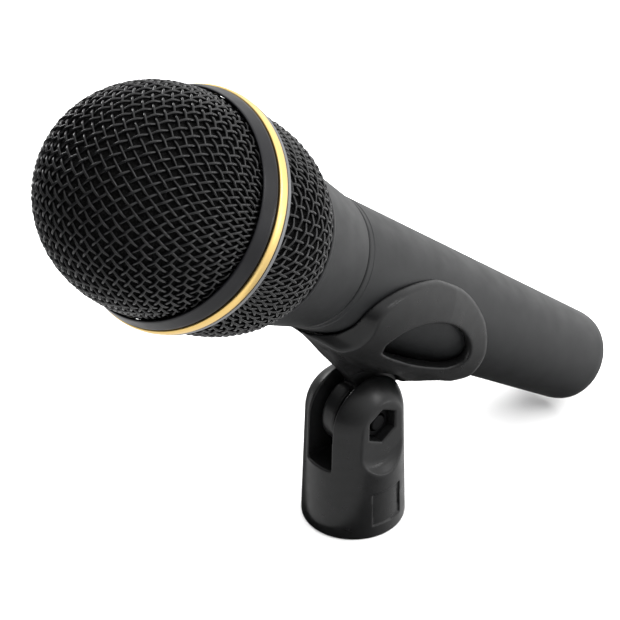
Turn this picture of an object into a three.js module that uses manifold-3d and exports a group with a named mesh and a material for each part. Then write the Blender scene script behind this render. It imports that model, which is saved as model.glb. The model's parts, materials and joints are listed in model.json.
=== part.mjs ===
// A handheld dynamic microphone resting in its moulded stand clip.
// Millimetres, +Z up. The clip's base stands on the ground, the microphone's head points to -Y and up.

import * as THREE from 'three';
import { mergeVertices } from 'three/addons/utils/BufferGeometryUtils.js';
import Module from 'manifold-3d';

const wasm = await Module();
wasm.setup();

// ---------------------------------------------------------------- driving dimensions

const GAP = 0.35; // clearance between neighbouring pieces

// pose of the microphone on its clip
const TILT = THREE.MathUtils.degToRad( 38.55 ); // the microphone's axis above the horizontal
const PIVOT_Z = 29.16; // height of the clip's hinge
const AXIS_OFFSET = 28.68; // from the hinge to the microphone's axis
const PIVOT_ALONG = - 86.24; // place of the hinge along the microphone's axis

// Places along the microphone's axis are counted from the widest circle of the head,
// positive towards the domed end and negative towards the connector.
const RING_RADIUS = 26.5;
const DOME_RADIUS = 24.47;
const DOME_START = 8.24;
const DOME_HEIGHT = 27.8;
const NECK_AT = - 27.2;
const NECK_RADIUS = 19;
const SEAM_AT = - 46.1;
const SEAM_RADIUS = 15.4;
const THREAD_BORE = 13.45; // inside the collar's and the handle's front ends
const THREAD_RING_BORE = 11.2;
const END_AT = - 154;
const END_RADIUS = 11.1;
const TAPER_END_AT = - 151.4;
const MESH_DEPTH = 1.1; // room that the woven wires take
const MESH_WALL = 0.5; // a plain wall about as heavy as the wires
const FRONT_FOAM_WALL = 2.6;
const REAR_FOAM_WALL = 2;

// clip base
const BASE_RADIUS = 12.08;
const BASE_TOP = 40.1;
const SHOULDER_RADIUS = 11.26;
const SLOT_HALF = 3.85;
const SLOT_FLOOR = 18.5;
const FLAT_X = 9.42;
const FLAT_RADIUS = 9.9;
const SCOOP_RISE = 6.6; // how much wider the flat's round edge gets on its way out
const SOCKET_RADIUS = 9.7;
const SOCKET_DEPTH = 13.3;

// hinge of the clip
const TAB_RADIUS = 8.4;
const TAB_HALF = 2.3;
const HUB_RADIUS = 5.4; // the tab is thicker round its bolt, where it rubs on the slot's sides
const HUB_HALF = SLOT_HALF - GAP;
const BOLT_RADIUS = 2;
const NUT_RADIUS = 4.04;

// cradle of the clip
const CRADLE_FRONT = - 50.8;
const CRADLE_BACK = - 104.8;
const CRADLE_WALL = 2.8;
const CRADLE_THINS_AT = - 80; // from here the wall thins towards the back
const CRADLE_WALL_BACK = 1.4;
const CRADLE_DROP = 2; // the outside is set lower than the bore, so the floor is thicker
const RELIEF_DROP = 0.5; // the bore is eased under the handle

const FINE = 40; // segments of the large round pieces
const COARSE = 24; // segments of the small and the hidden ones

// ---------------------------------------------------------------- geometry helpers

function closed( geometry ) {

	const bare = geometry.clone();
	bare.deleteAttribute( 'normal' );
	bare.deleteAttribute( 'uv' );
	const merged = mergeVertices( bare, 1e-4 );
	const place = merged.getAttribute( 'position' );
	const index = [];
	let volume = 0;
	const a = new THREE.Vector3();
	const b = new THREE.Vector3();
	const c = new THREE.Vector3();
	for ( let i = 0; i < merged.index.count; i += 3 ) {

		const corner = [ merged.index.getX( i ), merged.index.getX( i + 1 ), merged.index.getX( i + 2 ) ];
		if ( new Set( corner ).size < 3 ) continue;
		index.push( ...corner );
		a.fromBufferAttribute( place, corner[ 0 ] );
		b.fromBufferAttribute( place, corner[ 1 ] );
		c.fromBufferAttribute( place, corner[ 2 ] );
		volume += a.dot( b.cross( c ) );

	}

	if ( volume < 0 ) index.reverse();
	merged.setIndex( index );
	return merged;

}

function solid( geometry ) {

	const shape = closed( geometry );
	return new wasm.Manifold( new wasm.Mesh( {
		numProp: 3,
		vertProperties: new Float32Array( shape.getAttribute( 'position' ).array ),
		triVerts: new Uint32Array( shape.index.array ),
	} ) );

}

function surface( manifold ) {

	const mesh = manifold.getMesh();
	const geometry = new THREE.BufferGeometry();
	geometry.setAttribute( 'position', new THREE.BufferAttribute( mesh.vertProperties, 3 ) );
	geometry.setIndex( new THREE.BufferAttribute( mesh.triVerts, 1 ) );
	return geometry;

}

// revolve [ radius, place along Z ] points; both ends lie on the axis, or the outline closes on itself
function turned( outline, segments = FINE ) {

	const points = outline.map( ( [ radius, along ] ) => new THREE.Vector2( radius, along ) );
	return closed( new THREE.LatheGeometry( points, segments ).rotateX( Math.PI / 2 ) );

}

function ringOf( inner, outer, from, to, segments = FINE ) {

	return turned( [ [ inner, from ], [ outer, from ], [ outer, to ], [ inner, to ], [ inner, from ] ], segments );

}

function discOf( radius, from, to, segments = COARSE ) {

	return turned( [ [ 0, from ], [ radius, from ], [ radius, to ], [ 0, to ] ], segments );

}

// a round bar along X
function crossBar( radius, from, to, segments = COARSE ) {

	return discOf( radius, from, to, segments ).rotateY( Math.PI / 2 );

}

function block( low, high ) {

	const size = high.map( ( value, i ) => value - low[ i ] );
	const middle = high.map( ( value, i ) => ( value + low[ i ] ) / 2 );
	return new THREE.BoxGeometry( ...size ).translate( ...middle );

}

// extrude an outline drawn as [ place along the axis, height above it ] across X
function acrossX( points, half ) {

	const shape = new THREE.Shape( points.map( ( [ along, height ] ) => new THREE.Vector2( along, height ) ) );
	const geometry = new THREE.ExtrudeGeometry( shape, { depth: 2 * half, bevelEnabled: false } );
	geometry.translate( 0, 0, - half );
	const swap = new THREE.Matrix4().set( 0, 0, 1, 0, 0, 1, 0, 0, 1, 0, 0, 0, 0, 0, 0, 1 );
	return closed( geometry.applyMatrix4( swap ) );

}

function smooth( points, steps, loop = false ) {

	const vectors = points.map( ( [ x, y ] ) => new THREE.Vector3( x, y, 0 ) );
	const curve = new THREE.CatmullRomCurve3( vectors, loop, 'centripetal' );
	const list = curve.getPoints( steps ).map( ( { x, y } ) => [ x, y ] );
	if ( loop ) list.pop();
	return list;

}

function handleRadius( along ) {

	const share = ( SEAM_AT - along ) / ( SEAM_AT - TAPER_END_AT );
	return THREE.MathUtils.lerp( SEAM_RADIUS, END_RADIUS, share );

}

function coneAlong( extra, from, to, drop = 0 ) {

	const outline = [ [ 0, from ], [ handleRadius( from ) + extra, from ], [ handleRadius( to ) + extra, to ], [ 0, to ] ];
	return solid( turned( outline ).translate( 0, - drop, 0 ) );

}

// ---------------------------------------------------------------- head outlines

function domeOutline( inset, from, steps ) {

	const points = [ [ DOME_RADIUS - 0.35 - inset, from ] ];
	for ( let i = 0; i <= steps; i ++ ) {

		const angle = i / steps * Math.PI / 2;
		points.push( [
			( DOME_RADIUS - inset ) * Math.cos( angle ),
			DOME_START + ( DOME_HEIGHT - inset ) * Math.sin( angle ),
		] );

	}

	points[ points.length - 1 ][ 0 ] = 0;
	return points;

}

function domeShell( inset, wall, from, steps, segments ) {

	const outer = domeOutline( inset, from, steps );
	const inner = domeOutline( inset + wall, from, steps ).reverse();
	return turned( [ ...inner, ...outer ], segments );

}

function bowlOutline( inset, from, to, steps ) {

	const curve = new THREE.QuadraticBezierCurve(
		new THREE.Vector2( 24.6, - 1.5 ),
		new THREE.Vector2( 25.7, - 18.5 ),
		new THREE.Vector2( NECK_RADIUS, NECK_AT ),
	);
	const points = [];
	for ( let i = 0; i <= steps; i ++ ) {

		const t = THREE.MathUtils.lerp( from, to, i / steps );
		const point = curve.getPoint( t );
		const tangent = curve.getTangent( t );
		points.push( [ point.x + inset * tangent.y, point.y - inset * tangent.x ] );

	}

	return points;

}

function bowlShell( inset, wall, from, to, steps, segments ) {

	const outer = bowlOutline( inset, from, to, steps );
	const inner = bowlOutline( inset + wall, from, to, steps ).reverse();
	return turned( [ ...outer, ...inner, outer[ 0 ] ], segments );

}

// ---------------------------------------------------------------- grille head

function grilleBand() {

	return turned( [
		[ 24.55, 2.15 ],
		[ 26, 2.15 ],
		[ 25.95, 2.9 ],
		[ 25.5, 4.6 ],
		[ 25.15, 5.6 ],
		[ 24.95, 5.89 ],
		[ 24.65, 5.8 ],
		[ 24.55, 5.5 ],
		[ 24.55, 2.15 ],
	] );

}

function trimRing() {

	return turned( [
		[ 24.8, - 0.65 ],
		[ 26.3, - 0.65 ],
		[ RING_RADIUS, - 0.25 ],
		[ RING_RADIUS, 0.8 ],
		[ 26.42, 1.4 ],
		[ 26.25, 1.8 ],
		[ 24.8, 1.8 ],
		[ 24.8, - 0.65 ],
	] );

}

function rearHoop() {

	return turned( [
		[ 24.85, - 2.5 ],
		[ 25.6, - 2.5 ],
		[ 26.2, - 1.9 ],
		[ 26.25, - 1 ],
		[ 24.85, - 1 ],
		[ 24.85, - 2.5 ],
	] );

}

function grilleCollar() {

	return turned( [
		[ 17.5, - 27.6 ],
		[ 18.75, - 27.6 ],
		[ 18.8, - 28.1 ],
		[ 18.3, - 28.9 ],
		[ SEAM_RADIUS + 0.05, SEAM_AT + 0.3 ],
		[ SEAM_RADIUS - 0.25, SEAM_AT ],
		[ THREAD_BORE, SEAM_AT ],
		[ THREAD_BORE, - 36.5 ],
		[ 16.4, - 28.5 ],
		[ 16.4, - 24.5 ],
		[ 17.5, - 24.5 ],
		[ 17.5, - 27.6 ],
	] );

}

// ---------------------------------------------------------------- handle and connector

const SCREW_AT = - 143;

function handleShell() {

	const start = SEAM_AT - GAP;
	const shell = solid( turned( [
		[ THREAD_BORE, start ],
		[ SEAM_RADIUS - 0.3, start ],
		[ handleRadius( start - 0.5 ), start - 0.5 ],
		[ END_RADIUS, TAPER_END_AT ],
		[ END_RADIUS - 0.25, END_AT + 0.9 ],
		[ END_RADIUS - 0.7, END_AT + 0.25 ],
		[ END_RADIUS - 1.2, END_AT ],
		[ 9.45, END_AT ],
		[ 9.45, - 132 ],
		[ 9.75, - 127 ],
		[ 12.4, - 64 ],
		[ THREAD_BORE, - 61 ],
		[ THREAD_BORE, start ],
	] ) );
	const hole = solid( discOf( 1.6, - 14, - 8, 20 ).rotateX( - Math.PI / 2 ).translate( 0, 0, SCREW_AT ) );
	return surface( shell.subtract( hole ) );

}

function setScrew() {

	return discOf( 1.25, - 11.3, - 9.5, 20 ).rotateX( - Math.PI / 2 ).translate( 0, 0, SCREW_AT );

}

function pinPlace( number ) {

	const angle = THREE.MathUtils.degToRad( [ 30, 150, 270 ][ number ] );
	return [ 4.2 * Math.cos( angle ), 4.2 * Math.sin( angle ) ];

}

function connectorInsert() {

	let body = solid( turned( [
		[ 0, - 137 ],
		[ 7.9, - 137 ],
		[ 7.9, - 153 ],
		[ 9.1, - 153 ],
		[ 9.1, - 133.5 ],
		[ 0, - 133.5 ],
	], 40 ) );
	for ( let i = 0; i < 3; i ++ ) {

		body = body.subtract( solid( discOf( 1.55, - 140, - 130, 16 ).translate( ...pinPlace( i ), 0 ) ) );

	}

	const key = solid( block( [ - 1, 7, - 151.5 ], [ 1, 8.4, - 137.5 ] ) );
	return surface( body.add( key ) );

}

function connectorPin( number ) {

	const outline = [ [ 0, - 150.5 ], [ 0.8, - 150.5 ], [ 1.2, - 149.6 ], [ 1.2, - 130.6 ], [ 0, - 130.6 ] ];
	return turned( outline, 16 ).translate( ...pinPlace( number ), 0 );

}

function threadRing() {

	return turned( [
		[ THREAD_RING_BORE, - 60.5 ],
		[ THREAD_BORE - GAP, - 60.5 ],
		[ THREAD_BORE - GAP, - 38.2 ],
		[ THREAD_BORE - 1, - 37.4 ],
		[ THREAD_RING_BORE, - 37.4 ],
		[ THREAD_RING_BORE, - 60.5 ],
	] );

}

const LEADS = { lead_ground: 0, lead_hot: 1, lead_cold: 2 };

function lead( number ) {

	const [ x, y ] = pinPlace( number );
	const path = new THREE.CatmullRomCurve3( [
		new THREE.Vector3( 0.7 * x, 0.7 * y, - 64.4 ),
		new THREE.Vector3( 0.9 * x + 0.6, 0.9 * y, - 84 ),
		new THREE.Vector3( 1.1 * x - 0.6, 1.1 * y, - 106 ),
		new THREE.Vector3( x, y, - 122 ),
		new THREE.Vector3( x, y, - 130.2 ),
	] );
	const round = new THREE.Shape().absarc( 0, 0, 0.6, 0, 2 * Math.PI );
	const options = { extrudePath: path, steps: 12, curveSegments: 4, bevelEnabled: false };
	return closed( new THREE.ExtrudeGeometry( round, options ) );

}

// ---------------------------------------------------------------- cartridge

function shockMount() {

	return turned( [
		[ 9.6, - 37 ],
		[ 12.6, - 37 ],
		[ 12.6, - 34 ],
		[ 15.2, - 24.5 ],
		[ 16.2, - 17 ],
		[ 16.2, - 6.5 ],
		[ 14.45, - 6.5 ],
		[ 14.45, - 15.65 ],
		[ 9.6, - 15.65 ],
		[ 9.6, - 37 ],
	], COARSE );

}

function acousticChamber() {

	return turned( [
		[ 0, - 62 ],
		[ 9.2, - 62 ],
		[ 9.2, - 15.7 ],
		[ 8, - 15.7 ],
		[ 8, - 60.5 ],
		[ 0, - 60.5 ],
	], COARSE );

}

function capsuleHousing() {

	return turned( [
		[ 4, - 15.3 ],
		[ 14.1, - 15.3 ],
		[ 14.1, 3 ],
		[ 12.75, 3 ],
		[ 12.75, - 13.8 ],
		[ 4, - 13.8 ],
		[ 4, - 15.3 ],
	], COARSE );

}

function magnetCup() {

	return turned( [
		[ 0, - 13.4 ],
		[ 12.4, - 13.4 ],
		[ 12.4, - 1.5 ],
		[ 10, - 1.5 ],
		[ 10, - 11.2 ],
		[ 0, - 11.2 ],
	], COARSE );

}

function diaphragm() {

	const wall = 0.3;
	const top = [ [ 0, 1.5 ], [ 4.5, 0.95 ], [ 8, - 0.2 ], [ 9.3, - 0.65 ], [ 10.4, - 0.3 ], [ 11.3, - 0.6 ], [ 12.2, - 0.6 ] ];
	const under = top.map( ( [ radius, along ] ) => [ radius, along - wall ] ).reverse();
	return turned( [ ...top, ...under ], COARSE );

}

function capsuleCap() {

	let cap = solid( turned( [
		[ 0, 2.2 ],
		[ 11.5, 2.2 ],
		[ 11.5, - 0.25 ],
		[ 12.4, - 0.25 ],
		[ 12.4, 3.6 ],
		[ 0, 3.6 ],
	], COARSE ) );
	for ( let i = 0; i < 8; i ++ ) {

		const angle = i / 8 * 2 * Math.PI;
		const hole = discOf( 1.3, 1, 5, 12 ).translate( 7.5 * Math.cos( angle ), 7.5 * Math.sin( angle ), 0 );
		cap = cap.subtract( solid( hole ) );

	}

	cap = cap.subtract( solid( discOf( 2, 1, 5, 16 ) ) );
	return surface( cap );

}

// ---------------------------------------------------------------- clip cradle

function cradleSide() {

	// from the tongue's tip under the handle, over the ear to its back edge
	const ear = smooth( [
		[ - 51.2, - 15.4 ],
		[ - 53.2, - 12.6 ],
		[ - 53.6, - 9 ],
		[ - 53, - 5.2 ],
		[ - 53.8, - 2.2 ],
		[ - 56.2, 0.5 ],
		[ - 59.6, 2.9 ],
		[ - 64.6, 5.2 ],
		[ - 70, 6.9 ],
		[ - 75, 7.7 ],
		[ - 85.7, 7.3 ],
		[ - 94.2, 4.2 ],
		[ - 98.8, 0.5 ],
		[ - 102.7, - 4.3 ],
		[ CRADLE_BACK, - 9.4 ],
		[ - 104.2, - 11.9 ],
	], 46 );
	const centre = [ PIVOT_ALONG, - AXIS_OFFSET ];
	const tab = [];
	for ( let i = 0; i <= 24; i ++ ) {

		const angle = THREE.MathUtils.degToRad( THREE.MathUtils.lerp( 128, 400, i / 24 ) );
		tab.push( [ centre[ 0 ] + TAB_RADIUS * Math.cos( angle ), centre[ 1 ] + TAB_RADIUS * Math.sin( angle ) ] );

	}

	const tongue = [
		[ - 72.4, - 21 ],
		[ - 67.8, - 19.6 ],
		[ - 62, - 17.9 ],
		[ - 56.5, - 16.5 ],
		[ CRADLE_FRONT, - 16.1 ],
	];
	return [ ...ear, [ - 100.3, - 14.2 ], [ - 95, - 16.1 ], ...tab, ...tongue ];

}

function cradleWindow() {

	return smooth( [
		[ - 64.9, - 9.9 ],
		[ - 66, - 6.4 ],
		[ - 68.8, - 4 ],
		[ - 72.6, - 2.2 ],
		[ - 77.4, - 0.9 ],
		[ - 82.4, - 0.5 ],
		[ - 87.4, - 1.1 ],
		[ - 92, - 2.9 ],
		[ - 95, - 5.4 ],
		[ - 95.6, - 8 ],
		[ - 93.4, - 10.2 ],
		[ - 88, - 11.5 ],
		[ - 81.6, - 12.3 ],
		[ - 75.6, - 12.5 ],
		[ - 70.2, - 12.4 ],
		[ - 66.6, - 11.7 ],
	], 44, true );

}

function cradleKeel() {

	const half = smooth( [
		[ 12, - 9 ],
		[ 11, - 13.5 ],
		[ 7.4, - 16.6 ],
		[ 3.6, - 19 ],
		[ TAB_HALF, - 22 ],
		[ TAB_HALF, - 40 ],
	], 14 );
	const outline = [ ...half, ...half.map( ( [ x, y ] ) => [ - x, y ] ).reverse() ];
	const shape = new THREE.Shape( outline.map( ( [ x, y ] ) => new THREE.Vector2( x, y ) ) );
	const length = CRADLE_FRONT - CRADLE_BACK + 2;
	const geometry = new THREE.ExtrudeGeometry( shape, { depth: length, bevelEnabled: false } );
	return solid( geometry.translate( 0, 0, CRADLE_BACK - 1 ) );

}

function clipCradle() {

	const outside = [
		[ 0, CRADLE_BACK - 1 ],
		[ handleRadius( CRADLE_BACK - 1 ) + CRADLE_WALL_BACK, CRADLE_BACK - 1 ],
		[ handleRadius( CRADLE_THINS_AT ) + CRADLE_WALL, CRADLE_THINS_AT ],
		[ handleRadius( CRADLE_FRONT + 1 ) + CRADLE_WALL, CRADLE_FRONT + 1 ],
		[ 0, CRADLE_FRONT + 1 ],
	];
	let body = solid( turned( outside ).translate( 0, - CRADLE_DROP, 0 ) );
	body = body.add( cradleKeel() );
	body = body.intersect( solid( acrossX( cradleSide(), 30 ) ) );
	body = body.subtract( coneAlong( GAP, - 125, - 40 ) );
	body = body.subtract( coneAlong( 0, - 125, - 40, RELIEF_DROP ) );
	body = body.subtract( solid( acrossX( cradleWindow(), 30 ) ) );

	// room for the round top of the base on both sides of the tab
	const clearance = BASE_TOP - PIVOT_Z + 0.7;
	for ( const side of [ - 1, 1 ] ) {

		const cutter = crossBar( clearance, TAB_HALF, 16, 40 ).scale( side, 1, 1 );
		body = body.subtract( solid( cutter.translate( 0, - AXIS_OFFSET, PIVOT_ALONG ) ) );

	}

	const hub = crossBar( HUB_RADIUS, - HUB_HALF, HUB_HALF ).translate( 0, - AXIS_OFFSET, PIVOT_ALONG );
	body = body.add( solid( hub ) );

	const hole = crossBar( BOLT_RADIUS + GAP, - 6, 6 ).translate( 0, - AXIS_OFFSET, PIVOT_ALONG );
	return surface( body.subtract( solid( hole ) ) );

}

// ---------------------------------------------------------------- clip base and hinge bolt

function baseRadius( height ) {

	return THREE.MathUtils.lerp( BASE_RADIUS, SHOULDER_RADIUS, height / PIVOT_Z );

}

function baseBody( inset ) {

	const outline = [ [ 0, 0 ], [ BASE_RADIUS - 0.5 - inset, 0 ], [ baseRadius( 0.5 ) - inset, 0.5 ] ];
	for ( let i = 0; i <= 8; i ++ ) {

		const angle = i / 8 * Math.PI / 2;
		outline.push( [
			( SHOULDER_RADIUS - inset ) * Math.cos( angle ),
			PIVOT_Z + ( BASE_TOP - PIVOT_Z ) * Math.sin( angle ),
		] );

	}

	outline[ outline.length - 1 ][ 0 ] = 0;
	return solid( turned( outline ) );

}

function clipBase() {

	let body = baseBody( 0 );
	body = body.subtract( solid( block( [ - SLOT_HALF, - 20, SLOT_FLOOR ], [ SLOT_HALF, 20, 50 ] ) ) );
	body = body.subtract( solid( discOf( SOCKET_RADIUS, - 1, SOCKET_DEPTH, 40 ) ) );

	// a flat on each cheek with a sloping round edge
	const scoopEnd = SHOULDER_RADIUS + 4;
	const scoop = [
		[ 0, FLAT_X ],
		[ FLAT_RADIUS, FLAT_X ],
		[ FLAT_RADIUS + SCOOP_RISE, scoopEnd ],
		[ 0, scoopEnd ],
	];
	for ( const side of [ - 1, 1 ] ) {

		const flat = turned( scoop, 48 ).rotateY( side * Math.PI / 2 ).translate( 0, 0, PIVOT_Z );
		body = body.subtract( solid( flat ) );

	}

	const bolt = crossBar( BOLT_RADIUS + GAP, - 16, 16 ).translate( 0, 0, PIVOT_Z );
	const headPocket = crossBar( 4, - 16, - 6.6 ).translate( 0, 0, PIVOT_Z );
	const nutPocket = crossBar( NUT_RADIUS + 0.45, 5.2, 16, 6 ).translate( 0, 0, PIVOT_Z );
	body = body.subtract( solid( bolt ) ).subtract( solid( headPocket ) ).subtract( solid( nutPocket ) );

	// shallow plain panel low on the right-hand side
	const panel = solid( block( [ 6, - 4.1, 3.4 ], [ 14, 4.1, 12.2 ] ) ).subtract( baseBody( 0.45 ) );
	return surface( body.subtract( panel ) );

}

function pivotScrew() {

	const outline = [
		[ 0, - 9.1 ],
		[ 3, - 9.1 ],
		[ 3.6, - 8.5 ],
		[ 3.6, - 6.95 ],
		[ BOLT_RADIUS, - 6.95 ],
		[ BOLT_RADIUS, 7.9 ],
		[ 0, 7.9 ],
	];
	return turned( outline, COARSE ).rotateY( Math.PI / 2 );

}

function pivotNut() {

	const bore = solid( crossBar( BOLT_RADIUS + 0.33, 0, 10 ) );
	return surface( solid( crossBar( NUT_RADIUS, 5.5, 7.4, 6 ) ).subtract( bore ) );

}

// ---------------------------------------------------------------- materials and assembly

const BLACK_WIRE = { color: 0x101012, roughness: 0.35, metalness: 0.6 };
const BLACK_LACQUER = { color: 0x17181a, roughness: 0.35, metalness: 0.2 };
const GOLD = { color: 0xe6b64a, roughness: 0.3, metalness: 1 };
const GREY_METAL = { color: 0x75787c, roughness: 0.4, metalness: 0.8 };
const CHARCOAL = { color: 0x3b3d40, roughness: 0.55, metalness: 0.1 };
const CLIP_PLASTIC = { color: 0x2c2d2f, roughness: 0.5, metalness: 0 };
const BLACK_PLASTIC = { color: 0x1b1b1d, roughness: 0.6, metalness: 0 };
const RUBBER = { color: 0x222222, roughness: 0.9, metalness: 0 };
const FOAM = { color: 0x141414, roughness: 1, metalness: 0 };
const STEEL = { color: 0x9a9da1, roughness: 0.35, metalness: 1 };
const BRASS = { color: 0xb59a4e, roughness: 0.35, metalness: 1 };
const COPPER = { color: 0xb8693a, roughness: 0.4, metalness: 1 };
const CLEAR_FILM = { color: 0xd8d3c0, roughness: 0.2, metalness: 0 };
const BOARD = { color: 0x2f5c3a, roughness: 0.6, metalness: 0 };
const LEAD_COLOURS = [ 0x2a2a2a, 0xb3262a, 0xe8e4da ];

function piece( name, geometry, look ) {

	const mesh = new THREE.Mesh( geometry, new THREE.MeshStandardMaterial( look ) );
	mesh.name = name;
	return mesh;

}

// the microphone and the cradle share a frame whose Z is the microphone's axis
const inline = new THREE.Group();
inline.add(
	piece( 'grille_front_mesh', domeShell( 0, MESH_WALL, 3, 8, FINE ), BLACK_WIRE ),
	piece( 'grille_band', grilleBand(), BLACK_LACQUER ),
	piece( 'trim_ring', trimRing(), GOLD ),
	piece( 'rear_hoop', rearHoop(), GREY_METAL ),
	piece( 'grille_rear_mesh', bowlShell( 0, MESH_WALL, 0.02, 1, 6, FINE ), BLACK_WIRE ),
	piece( 'grille_collar', grilleCollar(), CHARCOAL ),
	piece( 'foam_liner_front', domeShell( MESH_DEPTH + GAP, FRONT_FOAM_WALL, 3, 5, COARSE ), FOAM ),
	piece( 'foam_liner_rear', bowlShell( MESH_DEPTH + GAP, REAR_FOAM_WALL, 0.02, 0.84, 4, COARSE ), FOAM ),
	piece( 'handle_shell', handleShell(), CHARCOAL ),
	piece( 'thread_ring', threadRing(), BRASS ),
	piece( 'xlr_insert', connectorInsert(), BLACK_PLASTIC ),
	piece( 'xlr_set_screw', setScrew(), STEEL ),
	piece( 'shock_mount', shockMount(), RUBBER ),
	piece( 'acoustic_chamber', acousticChamber(), BLACK_PLASTIC ),
	piece( 'terminal_board', discOf( 7.4, - 64, - 62.35 ), BOARD ),
	piece( 'capsule_housing', capsuleHousing(), BLACK_PLASTIC ),
	piece( 'magnet_cup', magnetCup(), STEEL ),
	piece( 'magnet', discOf( 8.2, - 10.85, - 4.7 ), GREY_METAL ),
	piece( 'pole_piece', discOf( 8.6, - 4.35, - 1.8 ), STEEL ),
	piece( 'voice_coil', ringOf( 8.95, 9.6, - 4.3, - 1.35, COARSE ), COPPER ),
	piece( 'diaphragm', diaphragm(), CLEAR_FILM ),
	piece( 'capsule_cap', capsuleCap(), BLACK_PLASTIC ),
	piece( 'clip_cradle', clipCradle(), CLIP_PLASTIC ),
);
for ( let i = 0; i < 3; i ++ ) {

	inline.add( piece( 'xlr_pin_' + ( i + 1 ), connectorPin( i ), BRASS ) );

}

for ( const [ name, number ] of Object.entries( LEADS ) ) {

	inline.add( piece( name, lead( number ), { color: LEAD_COLOURS[ number ], roughness: 0.5, metalness: 0 } ) );

}

const along = new THREE.Vector3( 0, - Math.cos( TILT ), Math.sin( TILT ) );
const above = new THREE.Vector3( 0, Math.sin( TILT ), Math.cos( TILT ) );
inline.rotation.x = Math.PI / 2 - TILT;
inline.position.set( 0, 0, PIVOT_Z ).addScaledVector( above, AXIS_OFFSET ).addScaledVector( along, - PIVOT_ALONG );

const part = new THREE.Group();
part.add(
	inline,
	piece( 'clip_base', clipBase(), CLIP_PLASTIC ),
	piece( 'thread_insert', ringOf( 7.6, 9.35, 0.4, 12.9, 40 ), BRASS ),
	piece( 'pivot_screw', pivotScrew().translate( 0, 0, PIVOT_Z ), STEEL ),
	piece( 'pivot_nut', pivotNut().translate( 0, 0, PIVOT_Z ), STEEL ),
);

// the origin is the middle of the whole object's footprint
part.updateMatrixWorld( true );
const reach = new THREE.Box3().setFromObject( part, true );
part.position.y = - ( reach.min.y + reach.max.y ) / 2;

export default part;
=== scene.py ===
"""Looks of a handheld dynamic microphone lying in its stand clip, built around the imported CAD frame.

Lengths are in millimetres until a piece is made, which turns them into metres. Pieces of the microphone
and of the clip's cradle are drawn in the inline frame: x across, y above, and z along the microphone's
axis, with the origin at the head's widest circle. Pieces of the clip's base are drawn in an upright frame
on the floor under the hinge.
"""

import json
import math

import bpy
import numpy as np
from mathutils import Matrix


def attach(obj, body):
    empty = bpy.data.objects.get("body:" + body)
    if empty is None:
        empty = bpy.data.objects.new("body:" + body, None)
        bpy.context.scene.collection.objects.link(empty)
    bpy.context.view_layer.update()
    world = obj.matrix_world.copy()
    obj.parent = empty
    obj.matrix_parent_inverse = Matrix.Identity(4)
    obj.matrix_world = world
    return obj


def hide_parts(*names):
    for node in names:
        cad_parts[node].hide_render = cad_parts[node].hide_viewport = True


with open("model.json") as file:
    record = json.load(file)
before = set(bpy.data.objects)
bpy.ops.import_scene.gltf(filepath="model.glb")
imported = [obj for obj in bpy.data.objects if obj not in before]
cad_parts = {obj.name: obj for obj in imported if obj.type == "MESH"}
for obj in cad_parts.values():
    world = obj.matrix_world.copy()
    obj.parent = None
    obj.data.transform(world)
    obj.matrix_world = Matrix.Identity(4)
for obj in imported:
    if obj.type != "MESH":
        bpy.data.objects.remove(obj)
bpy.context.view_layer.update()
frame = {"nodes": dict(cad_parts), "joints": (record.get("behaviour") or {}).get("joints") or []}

import openvdb
from mathutils import Matrix, Vector

MM = 0.001
joints = {joint["name"]: joint for joint in frame["joints"]}

# ---------------------------------------------------------------- the two frames that pieces are drawn in

ALONG = Vector(joints["head_unscrew"]["axis"]).normalized()
ACROSS = Vector((1, 0, 0))
ABOVE = ALONG.cross(ACROSS)
RING_CENTRE = Vector(joints["head_unscrew"]["pos_m"])
HINGE = Vector(joints["clip_tilt"]["pos_m"])
INLINE = Matrix.Translation(RING_CENTRE) @ Matrix((ACROSS, ABOVE, ALONG)).transposed().to_4x4()
UPRIGHT = Matrix.Translation((0, HINGE.y, 0))


def node_points(node, place):
    """A CAD node's corners in one of the two frames, in mm."""
    world = np.array([v.co for v in frame["nodes"][node].data.vertices])
    inverse = np.array(place.inverted())
    return (world @ inverse[:3, :3].T + inverse[:3, 3]) / MM


def span(node, place=INLINE):
    """Where a CAD node starts and ends along its axis, and its largest radius."""
    points = node_points(node, place)
    return points[:, 2].min(), points[:, 2].max(), np.hypot(points[:, 0], points[:, 1]).max()


hinge_inline = (INLINE.inverted() @ HINGE) / MM
PIVOT_ALONG = hinge_inline.z
PIVOT_BELOW = -hinge_inline.y
PIVOT_HEIGHT = HINGE.z / MM

# ---------------------------------------------------------------- sizes, from the CAD pieces

RING_RADIUS = span("trim_ring")[2]
RING_BACK, RING_FRONT, _ = span("trim_ring")
BAND_BACK, BAND_FRONT, BAND_RADIUS = span("grille_band")
HOOP_BACK, HOOP_FRONT, HOOP_RADIUS = span("rear_hoop")
DOME_HEM, DOME_TIP, DOME_RADIUS = span("grille_front_mesh")
NECK_AT = span("grille_rear_mesh")[0]
COLLAR_FRONT_RADIUS = span("grille_collar")[2]
SEAM_AT = span("grille_collar")[0]
HANDLE_END, HANDLE_FRONT, SEAM_RADIUS = span("handle_shell")
CRADLE_BACK, CRADLE_FRONT, _ = span("clip_cradle")

DOME_START = 8.24  # where the cylinder at the dome's foot turns into the ellipsoid
NECK_RADIUS = 19.0
END_RADIUS = 11.1
TAPER_END = HANDLE_END + 2.6

# ---------------------------------------------------------------- making pieces


ON_AXIS = 1e-6  # a point nearer to the axis than this lies on it
FILLET_SHARE = 0.45  # how much of a side one corner's fillet may take


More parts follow.
